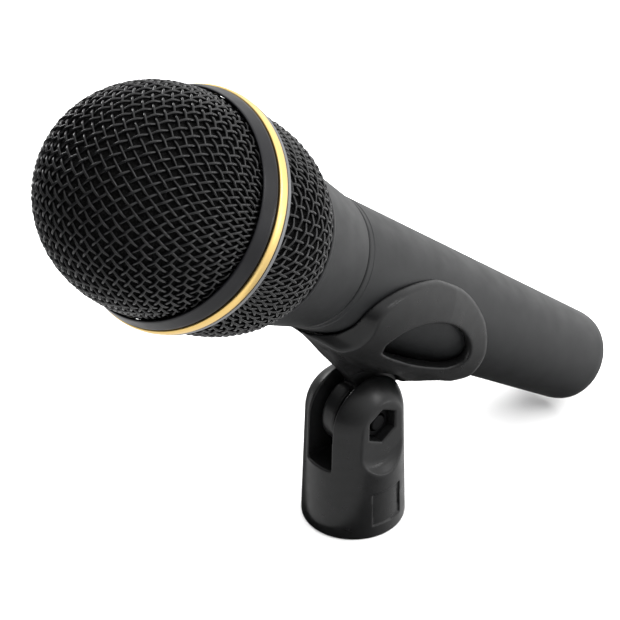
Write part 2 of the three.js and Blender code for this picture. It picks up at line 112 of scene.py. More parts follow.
def make_piece(name, points, faces, place, material, body, replaces=(), crease=35):
    """A mesh piece from points in mm in one of the two frames, sharp where it bends over crease degrees."""
    mesh = bpy.data.meshes.new(name)
    turn = np.array(place.to_3x3())
    placed = np.asarray(points, float) * MM @ turn.T + np.array(place.translation)
    mesh.from_pydata(placed.tolist(), [], faces)
    mesh.validate()
    mesh.shade_smooth()
    if crease < 180:
        mesh.set_sharp_from_angle(angle=math.radians(crease))
    mesh.materials.append(material)
    piece = bpy.data.objects.new(name, mesh)
    bpy.context.scene.collection.objects.link(piece)
    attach(piece, body)
    if replaces:
        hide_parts(*replaces)
    return piece


def filleted(outline, radius, steps=5):
    """The closed outline, its corners rounded. A corner is (radius, along) or (radius, along, fillet)."""
    result = []
    count = len(outline)
    for i, corner in enumerate(outline):
        size = corner[2] if len(corner) > 2 else radius
        point = np.array(corner[:2], float)
        to_before = np.array(outline[i - 1][:2], float) - point
        to_after = np.array(outline[(i + 1) % count][:2], float) - point
        near, far = np.linalg.norm(to_before), np.linalg.norm(to_after)
        reach = min(size, FILLET_SHARE * near, FILLET_SHARE * far)
        if reach < 1e-3 or point[0] < ON_AXIS:
            result.append(tuple(point))
            continue
        start = point + to_before / near * reach
        end = point + to_after / far * reach
        for t in np.linspace(0, 1, steps + 1):
            result.append(tuple((1 - t) ** 2 * start + 2 * t * (1 - t) * point + t**2 * end))
    return result


def lathe(outline, segments=160):
    """Revolve a closed outline of (radius, along) points round z. A point on the axis stays one point."""
    angles = np.linspace(0, 2 * math.pi, segments, endpoint=False)
    points, rows = [], []
    for radius, along in outline:
        if radius < ON_AXIS:
            rows.append([len(points)] * segments)
            points.append((0, 0, along))
            continue
        rows.append(list(range(len(points), len(points) + segments)))
        points.extend((radius * math.cos(a), radius * math.sin(a), along) for a in angles)
    faces = []
    for low, high in zip(rows, rows[1:] + rows[:1]):
        for i in range(segments):
            j = (i + 1) % segments
            corners = list(dict.fromkeys([low[i], low[j], high[j], high[i]]))
            if len(corners) > 2:
                faces.append(corners)
    turn = sum(a[0] * b[1] - b[0] * a[1] for a, b in zip(outline, outline[1:] + outline[:1]))
    if turn < 0:
        faces = [face[::-1] for face in faces]
    return np.array(points, float), faces


def turned(name, outline, place, material, body, replaces=(), fillet=0.15, segments=160):
    points, faces = lathe(filleted(outline, fillet), segments)
    return make_piece(name, points, faces, place, material, body, replaces)


# ---------------------------------------------------------------- woven wire

WIRE_RADIUS = 0.31
WIRE_LIFT = 0.23  # how far a wire's middle rises over the one it crosses
FRONT_PITCH = 2.13
REAR_PITCH = 2.3
WIRE_SIDES = 8
WIRE_STEPS = 8  # stretches of wire from one crossing to the next
SHORTEST_WIRE = 4  # points in the shortest stretch that is kept
NET_ROUNDS = 14  # Newton steps that place each crossing
NET_TOLERANCE = 0.02  # how far off a crossing may stay, as a share of the pitch squared


class Revolved:
    """A smooth surface of revolution, met by its arc length from the pole and its angle."""

    def __init__(self, radius, along):
        step = np.hypot(np.diff(radius), np.diff(along))
        self.length = np.concatenate([[0], np.cumsum(step)])
        self.radius, self.along = radius, along
        self.radius_slope = np.gradient(radius, self.length)
        self.along_slope = np.gradient(along, self.length)

    def point(self, t, angle):
        radius = np.interp(t, self.length, self.radius)
        along = np.interp(t, self.length, self.along)
        return np.stack([radius * np.cos(angle), radius * np.sin(angle), along], -1)

    def slopes(self, t, angle):
        radius = np.interp(t, self.length, self.radius)
        out = np.interp(t, self.length, self.radius_slope)
        up = np.interp(t, self.length, self.along_slope)
        cos, sin = np.cos(angle), np.sin(angle)
        return np.stack([out * cos, out * sin, up], -1), np.stack([-radius * sin, radius * cos, 0 * t], -1)

    def normal(self, t, angle, outward):
        along_it, round_it = self.slopes(np.maximum(t, 1e-3), angle)
        across = np.cross(along_it, round_it)
        return across / np.linalg.norm(across, axis=-1, keepdims=True) * outward


def cloth_quarter(surface, pitch, count):
    """One quarter of a cloth of equal, unstretched meshes laid on the surface from its pole outwards."""
    t = np.full((count, count), np.nan)
    angle = np.full((count, count), np.nan)
    steps = np.arange(count) * pitch
    t[:, 0], angle[:, 0] = steps, 0
    t[0, :], angle[0, :] = steps, math.pi / 2
    limit = surface.length[-1]
    t[:, 0][steps > limit] = np.nan
    t[0, :][steps > limit] = np.nan
    for total in range(2, 2 * count - 1):
        i = np.arange(max(1, total - count + 1), min(total, count))
        j = total - i
        left = surface.point(t[i - 1, j], angle[i - 1, j])
        low = surface.point(t[i, j - 1], angle[i, j - 1])
        guess = left + low - surface.point(t[i - 1, j - 1], angle[i - 1, j - 1])
        new_angle = np.arctan2(guess[:, 1], guess[:, 0])
        new_t = t[i - 1, j] + t[i, j - 1] - t[i - 1, j - 1]
        for _ in range(NET_ROUNDS):
            here = surface.point(new_t, new_angle)
            along_it, round_it = surface.slopes(new_t, new_angle)
            to_left, to_low = here - left, here - low
            miss = np.stack([(to_left**2).sum(-1) - pitch**2, (to_low**2).sum(-1) - pitch**2], -1)
            a = 2 * (to_left * along_it).sum(-1)
            b = 2 * (to_left * round_it).sum(-1)
            c = 2 * (to_low * along_it).sum(-1)
            d = 2 * (to_low * round_it).sum(-1)
            det = a * d - b * c
            det = np.where(np.abs(det) < 1e-9, np.nan, det)
            new_t = new_t - (d * miss[:, 0] - b * miss[:, 1]) / det
            new_angle = new_angle - (a * miss[:, 1] - c * miss[:, 0]) / det
        settled = np.abs(miss).max(-1) < NET_TOLERANCE * pitch**2
        bad = ~settled | (new_t > limit) | (new_t < 0)
        new_t[bad] = np.nan
        new_angle[bad] = np.nan
        t[i, j], angle[i, j] = new_t, new_angle
    return t, angle


def cloth(surface, pitch, turn, outward, even):
    """Crossings and normals of the whole cloth. even, from 0 to 1, draws them towards a plain wrap."""
    count = int(surface.length[-1] / pitch) + 2
    t, angle = cloth_quarter(surface, pitch, count)
    if even:
        steps = np.arange(count) * pitch
        flat_t = np.hypot(steps[:, None], steps[None, :])
        flat_angle = np.arctan2(steps[None, :], steps[:, None])
        t = t * (1 - even) + flat_t * even
        angle = angle * (1 - even) + flat_angle * even
    size = 2 * count - 1
    index = np.arange(size) - (count - 1)
    i, j = np.meshgrid(index, index, indexing="ij")
    t = t[np.abs(i), np.abs(j)]
    angle = angle[np.abs(i), np.abs(j)]
    x, y = np.cos(angle) * np.where(i < 0, -1, 1), np.sin(angle) * np.where(j < 0, -1, 1)
    angle = np.arctan2(y, x) + turn
    points = surface.point(t, angle)
    normals = surface.normal(t, angle, outward)
    points[np.isnan(t)] = np.nan
    return points, normals


def curve_through(values, steps):
    """Points on a smooth curve through the given points, with the place of each between its two."""
    padded = np.concatenate([2 * values[:1] - values[1:2], values, 2 * values[-1:] - values[-2:-1]])
    share = np.arange(steps) / steps
    a, b, c, d = padded[:-3], padded[1:-2], padded[2:-1], padded[3:]
    s = share[None, :, None]
    a, b, c, d = (v[:, None, :] for v in (a, b, c, d))
    curve = 0.5 * (2 * b + (c - a) * s + (2 * a - 5 * b + 4 * c - d) * s**2 + (3 * b - 3 * c + d - a) * s**3)
    return np.concatenate([curve.reshape(-1, 3), values[-1:]])


def wires(points, normals, keep, first_over):
    """The wires that run along the second index, each as its middle line and its outward directions."""
    result = []
    for row in range(points.shape[0]):
        whole = ~np.isnan(points[row, :, 0])
        starts = np.flatnonzero(whole & ~np.concatenate([[False], whole[:-1]]))
        ends = np.flatnonzero(whole & ~np.concatenate([whole[1:], [False]]))
        for start, end in zip(starts, ends):
            if end - start < 1:
                continue
            line = curve_through(points[row, start : end + 1], WIRE_STEPS)
            out = curve_through(normals[row, start : end + 1], WIRE_STEPS)
            out /= np.linalg.norm(out, axis=1, keepdims=True)
            place = start + np.arange(len(line)) / WIRE_STEPS
            lift = WIRE_LIFT * np.cos(math.pi * place) * (1 if (row + first_over) % 2 == 0 else -1)
            line = line + out * lift[:, None]
            result.extend(cut(line, out, keep))
    return result


def cut(line, out, keep):
    """The stretches of a wire where keep, a height above the cut at each point, is positive."""
    height = keep(line)
    pieces, current = [], []
    for k in range(len(line)):
        if height[k] > 0:
            if not current and k and height[k - 1] <= 0:
                share = height[k - 1] / (height[k - 1] - height[k])
                current.append((line[k - 1] + (line[k] - line[k - 1]) * share, out[k]))
            current.append((line[k], out[k]))
        elif current:
            share = height[k - 1] / (height[k - 1] - height[k])
            current.append((line[k - 1] + (line[k] - line[k - 1]) * share, out[k]))
            pieces.append(current)
            current = []
    if current:
        pieces.append(current)
    return [tuple(np.array(part) for part in zip(*piece)) for piece in pieces if len(piece) >= SHORTEST_WIRE]


def tubes(lines, radius, sides):
    """One mesh of a closed tube round each line."""
    points, faces = [], []
    turn = np.arange(sides) / sides * 2 * math.pi
    start = 0
    for line, out in lines:
        forward = np.gradient(line, axis=0)
        forward /= np.linalg.norm(forward, axis=1, keepdims=True)
        side = np.cross(forward, out)
        side /= np.linalg.norm(side, axis=1, keepdims=True)
        up = np.cross(side, forward)
        cos, sin = np.cos(turn)[None, :, None], np.sin(turn)[None, :, None]
        rings = line[:, None] + radius * (cos * side[:, None] + sin * up[:, None])
        points.append(rings.reshape(-1, 3))
        count = len(line)
        for k in range(count - 1):
            low, high = start + k * sides, start + (k + 1) * sides
            for m in range(sides):
                n = (m + 1) % sides
                faces.append((low + m, low + n, high + n, high + m))
        faces.append(tuple(start + m for m in reversed(range(sides))))
        faces.append(tuple(start + (count - 1) * sides + m for m in range(sides)))
        start += count * sides
    return np.concatenate(points), faces


# ---------------------------------------------------------------- moulded shapes, as distance fields


def join(a, b, round_by):
    """The smaller of two distances, with a fillet."""
    share = np.clip(0.5 + 0.5 * (b - a) / round_by, 0, 1)
    return b * (1 - share) + a * share - round_by * share * (1 - share)


def common(a, b, round_by):
    return -join(-a, -b, round_by)


def carve(a, b, round_by):
    return common(a, -b, round_by)


def outline_distance(x, y, outline):
    """Signed distance, negative inside, from each place of a grid to a closed outline in its plane."""
    ends = np.array(outline, float)
    nearest = np.full(np.broadcast(x, y).shape, np.inf)
    inside = np.zeros(nearest.shape, bool)
    for (ax, ay), (bx, by) in zip(ends, np.roll(ends, -1, axis=0)):
        dx, dy = bx - ax, by - ay
        share = np.clip(((x - ax) * dx + (y - ay) * dy) / (dx * dx + dy * dy), 0, 1)
        nearest = np.minimum(nearest, np.hypot(x - ax - share * dx, y - ay - share * dy))
        if ay != by:
            inside ^= ((ay > y) != (by > y)) & (x < dx * (y - ay) / dy + ax)
    return np.where(inside, -nearest, nearest)


def rounded_outline(corners, steps=6):
    """A smooth closed outline through given points."""
    ring = np.array([(x, y, 0) for x, y in corners], float)
    padded = np.concatenate([ring[-1:], ring, ring[:2]])
    curve = curve_through(padded, steps)
    return curve[steps : -2 * steps, :2]


def grid(low, high, step):
    axes = [np.arange(a, b + step, step) for a, b in zip(low, high)]
    return np.meshgrid(*axes, indexing="ij", sparse=True)


FIELD_BAND = 4  # how many grid steps of distance are kept on each side of a surface


def skin(field, low, step):
    """The surface where a distance field is zero, as points in mm and faces."""
    edge = FIELD_BAND * step
    volume = openvdb.FloatGrid(edge)
    volume.copyFromArray(np.clip(field, -edge, edge).astype(np.float32))
    points, triangles, quads = volume.convertToPolygons(isovalue=0.0, adaptivity=0.0)
    points = points.astype(float) * step + np.array(low)
    faces = [tuple(int(i) for i in face) for face in (*quads, *triangles)]
    a, b, c = (points[[face[k] for face in faces]] for k in range(3))
    if np.einsum("ij,ij->", a, np.cross(b, c)) < 0:
        faces = [face[::-1] for face in faces]
    return points, faces


def moulded(name, field, low, step, place, material, body, replaces=()):
    points, faces = skin(field, low, step)
    return make_piece(name, points, faces, place, material, body, replaces, crease=180)


# ---------------------------------------------------------------- materials


class Shader:
    """A node material whose patterns are fixed to the piece. Pattern sizes are in mm."""

    def __init__(self, name, colour, roughness, metallic=0.0, **sockets):
        self.material = bpy.data.materials.new(name)
        self.material.use_nodes = True
        self.tree = self.material.node_tree
        self.surface = self.tree.nodes["Principled BSDF"]
        self.colour, self.roughness = colour, roughness
        self.surface.inputs["Base Color"].default_value = (*colour, 1)
        self.surface.inputs["Roughness"].default_value = roughness
        self.surface.inputs["Metallic"].default_value = metallic
        for socket, value in sockets.items():
            self.surface.inputs[socket.replace("_", " ")].default_value = value
        self.place = self.tree.nodes.new("ShaderNodeTexCoord").outputs["Object"]
        self.normal = None

    def node(self, kind, inputs=None, **settings):
        node = self.tree.nodes.new(kind)
        for key, value in settings.items():
            setattr(node, key, value)
        for key, value in (inputs or {}).items():
            if isinstance(value, bpy.types.NodeSocket):
                self.tree.links.new(value, node.inputs[key])
            else:
                node.inputs[key].default_value = value
        return node

    def noise(self, size, detail=3.0, stretch=(1, 1, 1), distortion=0.0):
        mapped = self.node("ShaderNodeMapping", {"Vector": self.place, "Scale": stretch})
        inputs = {"Vector": mapped.outputs[0], "Scale": 1 / (size * MM)}
        inputs.update({"Detail": detail, "Distortion": distortion})
        return self.node("ShaderNodeTexNoise", inputs).outputs["Fac"]

    def pores(self, size):
        inputs = {"Vector": self.place, "Scale": 1 / (size * MM)}
        return self.node("ShaderNodeTexVoronoi", inputs, feature="F1").outputs["Distance"]

    def between(self, pattern, low, high, start=0.3, end=0.7):
        inputs = {"Value": pattern, "From Min": start, "From Max": end, "To Min": low, "To Max": high}
        return self.node("ShaderNodeMapRange", inputs).outputs["Result"]

    def mottle(self, pattern, amount, start=0.3, end=0.7):
        """Make the colour darker and lighter by a share of itself."""
        factor = self.between(pattern, 0.0, 1.0, start, end)
        mix = self.node("ShaderNodeMix", {"Factor": factor}, data_type="RGBA")
        mix.inputs["A"].default_value = (*(max(0.0, v * (1 - amount)) for v in self.colour), 1)
        mix.inputs["B"].default_value = (*(min(1.0, v * (1 + amount)) for v in self.colour), 1)
        self.tree.links.new(mix.outputs["Result"], self.surface.inputs["Base Color"])
        return self

    def tint(self, pattern, other, start=0.3, end=0.7):
        """Blend the colour towards another where the pattern is high."""
        factor = self.between(pattern, 0.0, 1.0, start, end)
        mix = self.node("ShaderNodeMix", {"Factor": factor}, data_type="RGBA")
        mix.inputs["A"].default_value = (*self.colour, 1)
        mix.inputs["B"].default_value = (*other, 1)
        self.tree.links.new(mix.outputs["Result"], self.surface.inputs["Base Color"])
        return self

    def gloss(self, pattern, spread):
        value = self.between(pattern, self.roughness - spread, self.roughness + spread)
        self.tree.links.new(value, self.surface.inputs["Roughness"])
        return self

    def bump(self, pattern, depth, strength=1.0):
        """Raise the surface by up to depth, in mm, where the pattern is high."""
        inputs = {"Height": pattern, "Distance": depth * MM, "Strength": strength}
        if self.normal:
            inputs["Normal"] = self.normal
        self.normal = self.node("ShaderNodeBump", inputs).outputs["Normal"]
        self.tree.links.new(self.normal, self.surface.inputs["Normal"])
        return self


def wire_lacquer():
    look = Shader("wire_lacquer", (0.003, 0.003, 0.0033), 0.18, Specular_IOR_Level=0.36)
    coarse = look.noise(3.0)
    return look.mottle(coarse, 0.3).gloss(look.noise(0.9), 0.08).bump(look.noise(0.16), 0.012).material


def band_lacquer():
    look = Shader("band_lacquer", (0.0035, 0.0035, 0.0045), 0.34, Specular_IOR_Level=0.25)
    look.mottle(look.noise(6.0), 0.25).gloss(look.noise(2.0), 0.05)
    return look.bump(look.noise(0.25), 0.006).material


def gold_finish():
    look = Shader("gold_finish", (0.80, 0.56, 0.20), 0.34, metallic=1.0)
    look.tint(look.noise(9.0), (0.84, 0.61, 0.25)).gloss(look.noise(1.5, stretch=(1, 1, 6)), 0.06)
    return look.bump(look.noise(0.5, stretch=(1, 1, 14)), 0.004).material


def grey_metal():
    look = Shader("grey_metal", (0.16, 0.162, 0.168), 0.45, metallic=0.7)
    look.mottle(look.noise(4.0), 0.08).gloss(look.noise(1.0), 0.06)
    return look.bump(look.noise(0.3, stretch=(1, 1, 8)), 0.004).material


def charcoal_paint():
    look = Shader("charcoal_paint", (0.0095, 0.0099, 0.0104), 0.42, Specular_IOR_Level=0.22)
    look.mottle(look.noise(0.22, detail=5.0), 0.22).gloss(look.noise(5.0), 0.04)
    return look.bump(look.noise(0.16, detail=4.0), 0.012).material


def clip_plastic():
    look = Shader("clip_plastic", (0.0055, 0.0056, 0.0058), 0.33, Specular_IOR_Level=0.24)
    look.mottle(look.noise(3.5, detail=5.0), 0.18).gloss(look.noise(2.5), 0.06)
    look.bump(look.noise(0.3, detail=4.0), 0.012)
    return look.bump(look.noise(6.0, detail=1.0), 0.05, 0.5).material


def black_plastic():
    look = Shader("black_plastic", (0.02, 0.02, 0.021), 0.5)
    look.mottle(look.noise(2.0), 0.2).gloss(look.noise(1.5), 0.06)
    return look.bump(look.noise(0.25), 0.01).material


def foam():
    look = Shader("foam", (0.006, 0.006, 0.006), 0.95, Specular_IOR_Level=0.1)
    cells = look.pores(0.55)
    look.tint(cells, (0.002, 0.002, 0.002), 0.1, 0.5)
    return look.bump(cells, 0.25).bump(look.noise(1.4), 0.2).material


def machined(name, colour, roughness):
    look = Shader(name, colour, roughness, metallic=1.0)
    look.mottle(look.noise(1.5), 0.08).gloss(look.noise(0.8), 0.05)
    return look.bump(look.noise(0.2, stretch=(1, 1, 5)), 0.005).material


def rubber():
    look = Shader("rubber", (0.02, 0.02, 0.02), 0.8)
    return look.mottle(look.noise(2.0), 0.2).gloss(look.noise(1.0), 0.08).bump(look.noise(0.3), 0.02).material


def circuit_board():
    look = Shader("circuit_board", (0.02, 0.11, 0.045), 0.45)
    look.tint(look.noise(1.2, distortion=1.5), (0.04, 0.2, 0.08), 0.48, 0.54)
    return look.gloss(look.noise(0.8), 0.08).bump(look.noise(0.6), 0.02).material


def winding():
    look = Shader("winding", (0.62, 0.27, 0.10), 0.32, metallic=1.0)
    turns = look.noise(0.12, detail=1.0, stretch=(0.05, 0.05, 1))
    return look.mottle(turns, 0.3).gloss(look.noise(0.7), 0.05).bump(turns, 0.05).material


def film():
    look = Shader("film", (0.72, 0.68, 0.56), 0.22)
    look.mottle(look.noise(3.0), 0.08).gloss(look.noise(1.5), 0.05)
    return look.bump(look.noise(1.8), 0.02).material


def sleeve(name, colour):
    look = Shader(name, colour, 0.5)
    look.mottle(look.noise(1.0), 0.15).gloss(look.noise(0.6), 0.08)
    return look.bump(look.noise(0.2), 0.01).material


WIRE = wire_lacquer()
BAND = band_lacquer()
GOLD = gold_finish()
HOOP = grey_metal()
CHARCOAL = charcoal_paint()
CLIP = clip_plastic()
PLASTIC = black_plastic()
FOAM = foam()
BRASS = machined("brass", (0.68, 0.47, 0.17), 0.3)
STEEL = machined("steel", (0.42, 0.42, 0.44), 0.32)
# The hinge bolt and nut are black oxide, and their colour is made darker still as painted shade for the deep
# pockets they sit in.
BLACK_OXIDE_AND_POCKET_SHADE = machined("black_oxide_and_pocket_shade", (0.007, 0.007, 0.0075), 0.5)
MAGNET = machined("magnet_metal", (0.22, 0.22, 0.24), 0.45)
RUBBER = rubber()

# ---------------------------------------------------------------- the head

MESH_DEPTH = WIRE_RADIUS + WIRE_LIFT + 0.05  # from the mesh's outside to the middle of its cloth
FRONT_TURN = math.radians(58)
FRONT_EVEN = 0.25
REAR_TURN = math.radians(25)
FRONT_HIDDEN = 6  # how far behind its hem the front cloth is laid out before it is cut
FOAM_GAP = 1.15
FRONT_FOAM_WALL = 2.6
REAR_FOAM_WALL = 2.0
REAR_FOAM_STOP = 3.5  # the rear liner ends this far in front of the neck
# The front liner's edge closes the slit at the mesh's hem: rise over the band, and depth under the dome.
FOAM_LIP = ((1.1, 0.62), (0.3, 0.55), (0.25, 0.12), (0.04, 0.12))


def dome_profile(inset, hem, count=400):
    """From the dome's tip down to its hem."""
    angle = np.linspace(math.pi / 2, 0, count)
    radius = (DOME_RADIUS - inset) * np.cos(angle)
    along = DOME_START + (DOME_TIP - DOME_START - inset) * np.sin(angle)
    skirt = np.linspace(DOME_START, hem, 60)[1:]
    return np.append(radius, np.full(len(skirt), DOME_RADIUS - inset)), np.append(along, skirt)


def bezier(start, control, end, count):
    t = np.linspace(0, 1, count)[:, None]
    start, control, end = (np.array(p, float) for p in (start, control, end))
    return (1 - t) ** 2 * start + 2 * t * (1 - t) * control + t**2 * end


BOWL_RIM = (24.6, -1.5)
BOWL_SIDE = (25.7, -18.5)  # the control point that gives the bowl its curve


def bowl_profile(inset, count=300):
    """The rear basket's outside from the hoop to the neck."""
    curve = bezier(BOWL_RIM, BOWL_SIDE, (NECK_RADIUS, NECK_AT), count)
    slope = np.gradient(curve, axis=0)
    slope /= np.linalg.norm(slope, axis=1, keepdims=True)
    return curve[:, 0] + inset * slope[:, 1], curve[:, 1] - inset * slope[:, 0]


def woven(name, surface, pitch, turn, outward, even, keep, node):
    """Both sets of wires of one basket. keep says how far each point is inside the part that stays."""
    points, normals = cloth(surface, pitch, turn, outward, even)
    warp = wires(points, normals, keep, 0)
    weft = wires(points.transpose(1, 0, 2), normals.transpose(1, 0, 2), keep, 1)
    for label, lines in (("warp", warp), ("weft", weft)):
        mesh_points, faces = tubes(lines, WIRE_RADIUS, WIRE_SIDES)
        piece_name = f"{name}_{label}"
        make_piece(piece_name, mesh_points, faces, INLINE, WIRE, "head", (node,), crease=180)


def front_mesh():
    radius, along = dome_profile(MESH_DEPTH, DOME_HEM - FRONT_HIDDEN)
    radius[0] = 0
    hem = DOME_HEM + 0.1

    def keep(line):
        return line[:, 2] - hem

    surface = Revolved(radius, along)
    woven("front_mesh", surface, FRONT_PITCH, FRONT_TURN, 1, FRONT_EVEN, keep, "grille_front_mesh")


def rear_mesh():
    """The cloth is laid out from an unseen pole behind the neck, and only the bowl is kept."""
    radius, along = bowl_profile(MESH_DEPTH)
    hidden = bezier((radius[-1], along[-1]), (radius[-1] - 7, along[-1] - 9), (0, along[-1] - 11), 200)
    radius = np.concatenate([hidden[::-1][:-1, 0], radius[::-1], [radius[0], radius[0]]])
    along = np.concatenate([hidden[::-1][:-1, 1], along[::-1], [along[0] + 3, along[0] + 6]])
    low, high = NECK_AT + 0.15, HOOP_FRONT - 0.1

    def keep(line):
        return np.minimum(line[:, 2] - low, high - line[:, 2])

    woven("rear_mesh", Revolved(radius, along), REAR_PITCH, REAR_TURN, -1, 0.0, keep, "grille_rear_mesh")


def foam_liner(name, outline, node):
    points, faces = lathe(outline, 200)
    liner = make_piece(name, points, faces, INLINE, FOAM, "head", (node,))


def foam_liners():
    outer_r, outer_a = dome_profile(FOAM_GAP, RING_BACK, 90)
    inner_r, inner_a = dome_profile(FOAM_GAP + FRONT_FOAM_WALL, RING_BACK, 60)
    lip_r, lip_a = dome_profile(0, RING_BACK, 90)
    lip = []
    for rise, depth in FOAM_LIP:
        lip.append((np.interp(DOME_HEM + rise, lip_a[::-1], lip_r[::-1]) - depth, DOME_HEM + rise))
    above, below = outer_a > DOME_HEM + FOAM_LIP[0][0], outer_a < DOME_HEM
    outline = list(zip(outer_r[above], outer_a[above])) + lip + list(zip(outer_r[below], outer_a[below]))
    outline += list(zip(inner_r, inner_a))[::-1]
    outline[0] = (0, outline[0][1])
    outline[-1] = (0, outline[-1][1])
    foam_liner("foam_front", outline, "foam_liner_front")
    outer_r, outer_a = bowl_profile(FOAM_GAP, 60)
    inner_r, inner_a = bowl_profile(FOAM_GAP + REAR_FOAM_WALL, 60)
    keep = outer_a > NECK_AT + REAR_FOAM_STOP
    outline = list(zip(outer_r[keep], outer_a[keep])) + list(zip(inner_r[keep], inner_a[keep]))[::-1]
    foam_liner("foam_rear", outline, "foam_liner_rear")


def rings():
    inner = RING_RADIUS - 1.7
    gold = [
        (inner, RING_BACK),
        (RING_RADIUS - 0.2, RING_BACK),
        (RING_RADIUS - 0.01, RING_BACK + 0.5),
        (RING_RADIUS - 0.01, RING_FRONT - 0.9),
        (RING_RADIUS - 0.1, RING_FRONT - 0.35),
        (RING_RADIUS - 0.3, RING_FRONT),
        (inner, RING_FRONT),
    ]
    turned("gold_ring", gold, INLINE, GOLD, "head", ("trim_ring",), 0.22, 240)
    lip = BAND_RADIUS - 1.05
    band = [
        (lip - 0.4, BAND_BACK),
        (BAND_RADIUS, BAND_BACK),
        (BAND_RADIUS - 0.05, BAND_BACK + 0.6),
        (BAND_RADIUS - 0.45, BAND_BACK + 2.0),
        (lip + 0.2, BAND_FRONT - 0.3),
        (lip, BAND_FRONT),
        (lip - 0.3, BAND_FRONT - 0.1),
        (lip - 0.4, BAND_FRONT - 0.4),
    ]
    turned("black_band", band, INLINE, BAND, "head", ("grille_band",), 0.3, 240)
    hoop = [
        (HOOP_RADIUS - 1.4, HOOP_BACK),
        (HOOP_RADIUS - 0.65, HOOP_BACK),
        (HOOP_RADIUS - 0.05, HOOP_BACK + 0.6),
        (HOOP_RADIUS, HOOP_FRONT),
        (HOOP_RADIUS - 1.4, HOOP_FRONT),
    ]
    turned("grey_hoop", hoop, INLINE, HOOP, "head", ("rear_hoop",), 0.15, 240)


HANDLE_BORE = 13.45  # at the joint of the collar and the handle


def collar():
    outline = [
        (17.5, NECK_AT - 0.4),
        (COLLAR_FRONT_RADIUS - 0.05, NECK_AT - 0.4),
        (COLLAR_FRONT_RADIUS, NECK_AT - 0.9),
        (COLLAR_FRONT_RADIUS - 0.5, NECK_AT - 1.7),
        (SEAM_RADIUS + 0.05, SEAM_AT + 0.3),
        (SEAM_RADIUS - 0.25, SEAM_AT),
        (HANDLE_BORE, SEAM_AT),
        (HANDLE_BORE, SEAM_AT + 9.6),
        (16.4, NECK_AT - 1.3),
        (16.4, NECK_AT + 2.7),
        (17.5, NECK_AT + 2.7),
    ]
    turned("screw_collar", outline, INLINE, CHARCOAL, "head", ("grille_collar",), 0.25, 240)


front_mesh()
rear_mesh()
foam_liners()
rings()
collar()

# ---------------------------------------------------------------- the handle and its connector


def handle_radius(along):
    return SEAM_RADIUS + (along - SEAM_AT) * (SEAM_RADIUS - END_RADIUS) / (SEAM_AT - TAPER_END)


CONNECTOR_BORE = 9.45
SCREW_HOLE_RADIUS = 1.6
SCREW_HOLE_REACH = (-16, -8)  # how far below the axis the set screw's hole starts and ends


def handle():
    step_at = HANDLE_FRONT - 1.7
    outline = [
        (HANDLE_BORE, HANDLE_FRONT, 0.1),
        (SEAM_RADIUS - 0.35, HANDLE_FRONT, 0.1),
        (SEAM_RADIUS - 0.12, HANDLE_FRONT - 0.3, 0.2),
        (handle_radius(step_at) - 0.12, step_at, 0.1),
        (handle_radius(step_at - 0.15), step_at - 0.15, 0.1),
        (END_RADIUS, TAPER_END, 1.5),
        (END_RADIUS - 0.3, HANDLE_END + 0.7, 0.6),
        (END_RADIUS - 1.1, HANDLE_END, 0.5),
        (CONNECTOR_BORE, HANDLE_END, 0.25),
        (CONNECTOR_BORE, HANDLE_END + 22, 0.2),
        (9.75, HANDLE_END + 27, 0.5),
        (12.4, HANDLE_FRONT - 17.5, 0.5),
        (HANDLE_BORE, HANDLE_FRONT - 14.5, 0.5),
    ]
    slot, node = "charcoal_paint", "handle_shell"
    piece = turned("handle_tube", outline, INLINE, CHARCOAL, "microphone", (node,), 0.2, 240)
    screw = node_points("xlr_set_screw", INLINE)[:, 2]
    start, stop = SCREW_HOLE_REACH
    points, faces = lathe([(0, start), (SCREW_HOLE_RADIUS, start), (SCREW_HOLE_RADIUS, stop), (0, stop)], 48)
    drill = bpy.data.meshes.new("drill")
    middle = (screw.min() + screw.max()) / 2
    place = Matrix.Translation((0, 0, middle)) @ Matrix.Rotation(-math.pi / 2, 4, "X")
    drill.from_pydata([INLINE @ ((place @ Vector(p)) * MM) for p in points], [], faces)
    cutter = bpy.data.objects.new("drill", drill)
    bpy.context.scene.collection.objects.link(cutter)
    modifier = piece.modifiers.new("hole", "BOOLEAN")
    modifier.operation, modifier.object, modifier.solver = "DIFFERENCE", cutter, "EXACT"
    bpy.context.view_layer.update()
    evaluated = piece.evaluated_get(bpy.context.evaluated_depsgraph_get())
    cut_mesh = bpy.data.meshes.new_from_object(evaluated)
    piece.modifiers.clear()
    piece.data = cut_mesh
    bpy.data.objects.remove(cutter)
    cut_mesh.shade_smooth()
    cut_mesh.set_sharp_from_angle(angle=math.radians(35))


PIN_RADIUS = 1.2
PIN_HOLE_RADIUS = 1.45


def connector():
    low, high, radius = span("xlr_insert")
    step = 0.2
    x, y, z = grid((-radius - 1, -radius - 1, low - 1), (radius + 1, radius + 1, high + 1), step)
    across = np.hypot(x, y)
    body = common(across - radius, np.maximum(low - z, z - high), 0.4)
    cup = common(across - 7.9, z - (high - 3.5), 0.3)
    body = carve(body, cup, 0.4)
    key = np.maximum(np.abs(x) - 1.0, np.abs(y - 8.2) - 1.1)
    body = join(body, np.maximum(key, np.maximum(low + 1.5 - z, z - high + 1)), 0.3)
    for number in (1, 2, 3):
        pin = node_points(f"xlr_pin_{number}", INLINE)
        middle = (pin.min(0) + pin.max(0)) / 2
        body = carve(body, np.hypot(x - middle[0], y - middle[1]) - PIN_HOLE_RADIUS + 0 * z, 0.2)
        back, front = pin[:, 2].min(), pin[:, 2].max()
        outline = [(0, back), (PIN_RADIUS, back, 0.75), (PIN_RADIUS, front, 0.3), (0, front)]
        points, faces = lathe(filleted(outline, 0.3), 48)
        points[:, :2] += middle[:2]
        name, node = f"contact_pin_{number}", f"xlr_pin_{number}"
        make_piece(name, points, faces, INLINE, BRASS, "microphone", (node,))
    corner = (-radius - 1, -radius - 1, low - 1)
    slot, node = "black_plastic", "xlr_insert"
    moulded("connector_body", body, corner, step, INLINE, PLASTIC, "microphone", (node,))


